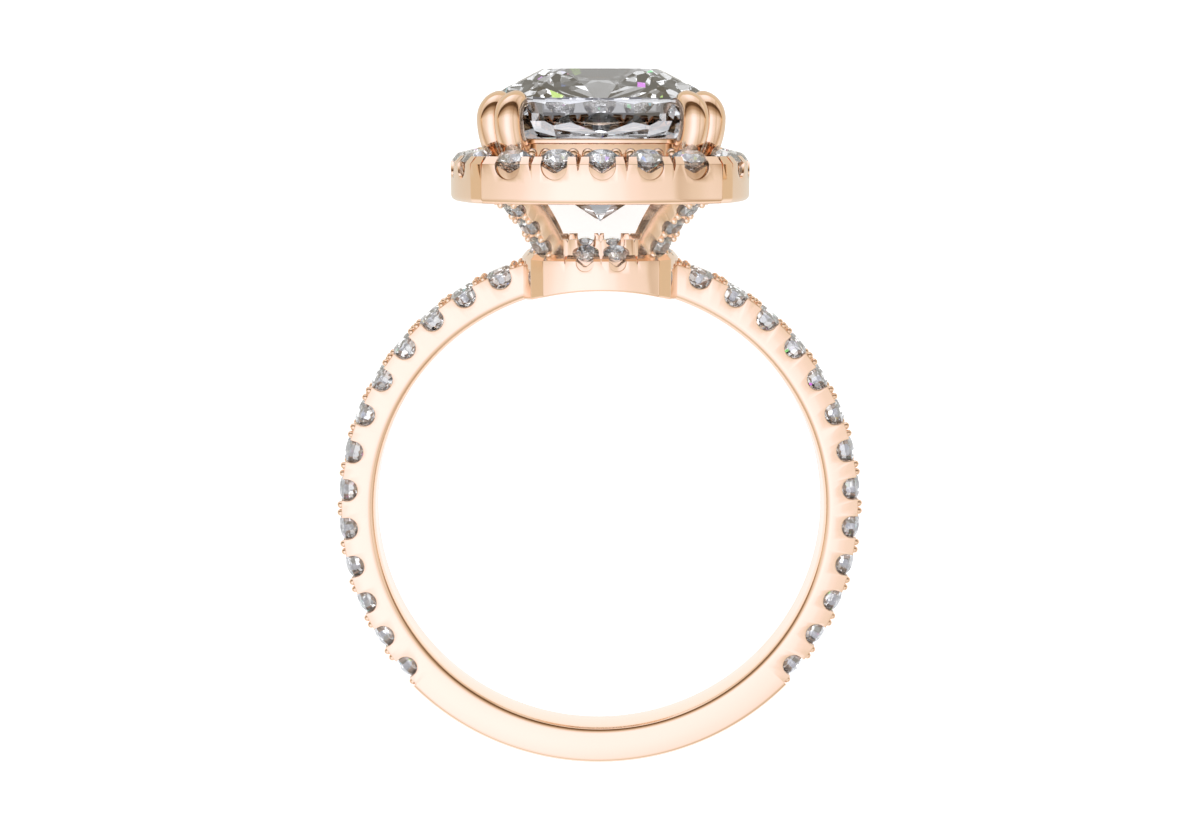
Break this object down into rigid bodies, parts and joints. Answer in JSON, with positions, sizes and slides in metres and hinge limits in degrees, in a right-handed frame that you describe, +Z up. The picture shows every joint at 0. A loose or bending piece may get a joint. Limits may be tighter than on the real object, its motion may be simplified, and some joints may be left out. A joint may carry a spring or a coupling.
{
  "type": "halo ring",
  "caption": "Halo ring: a pave shank, small square gallery, struts, a cushion halo of stones and paired claws holding a cushion-cut stone.",
  "frame": {"origin": "centre of the bounding box at floor level, with the ring lying on its side", "axes": "+Z up; the head points to +Y and a little up; the finger axis lies in the YZ plane, tilted 12.25 degrees from +Z towards -Y; +X to the right of the head as seen from above"},
  "size_m": [0.02, 0.0264, 0.011],
  "materials": {
    "rose_gold": "mirror polished light rose gold",
    "centre_stone": "faceted, clear and colourless",
    "small_stones": "faceted, clear and colourless"
  },
  "bodies": {
    "root": {"mounting": "rose_gold", "centre_stone": "centre_stone", "halo_stone_01": "small_stones", "halo_stone_02": "small_stones", "halo_stone_03": "small_stones", "halo_stone_04": "small_stones", "halo_stone_05": "small_stones", "halo_stone_06": "small_stones", "halo_stone_07": "small_stones", "halo_stone_08": "small_stones", "halo_stone_09": "small_stones", "halo_stone_10": "small_stones", "halo_stone_11": "small_stones", "halo_stone_12": "small_stones", "halo_stone_13": "small_stones", "halo_stone_14": "small_stones", "halo_stone_15": "small_stones", "halo_stone_16": "small_stones", "halo_stone_17": "small_stones", "halo_stone_18": "small_stones", "halo_stone_19": "small_stones", "halo_stone_20": "small_stones", "base_stones": "small_stones", "strut_stones_1": "small_stones", "strut_stones_2": "small_stones", "strut_stones_3": "small_stones", "strut_stones_4": "small_stones", "shank_stones_left": "small_stones", "shank_stones_right": "small_stones"}
  },
  "joints": []
}
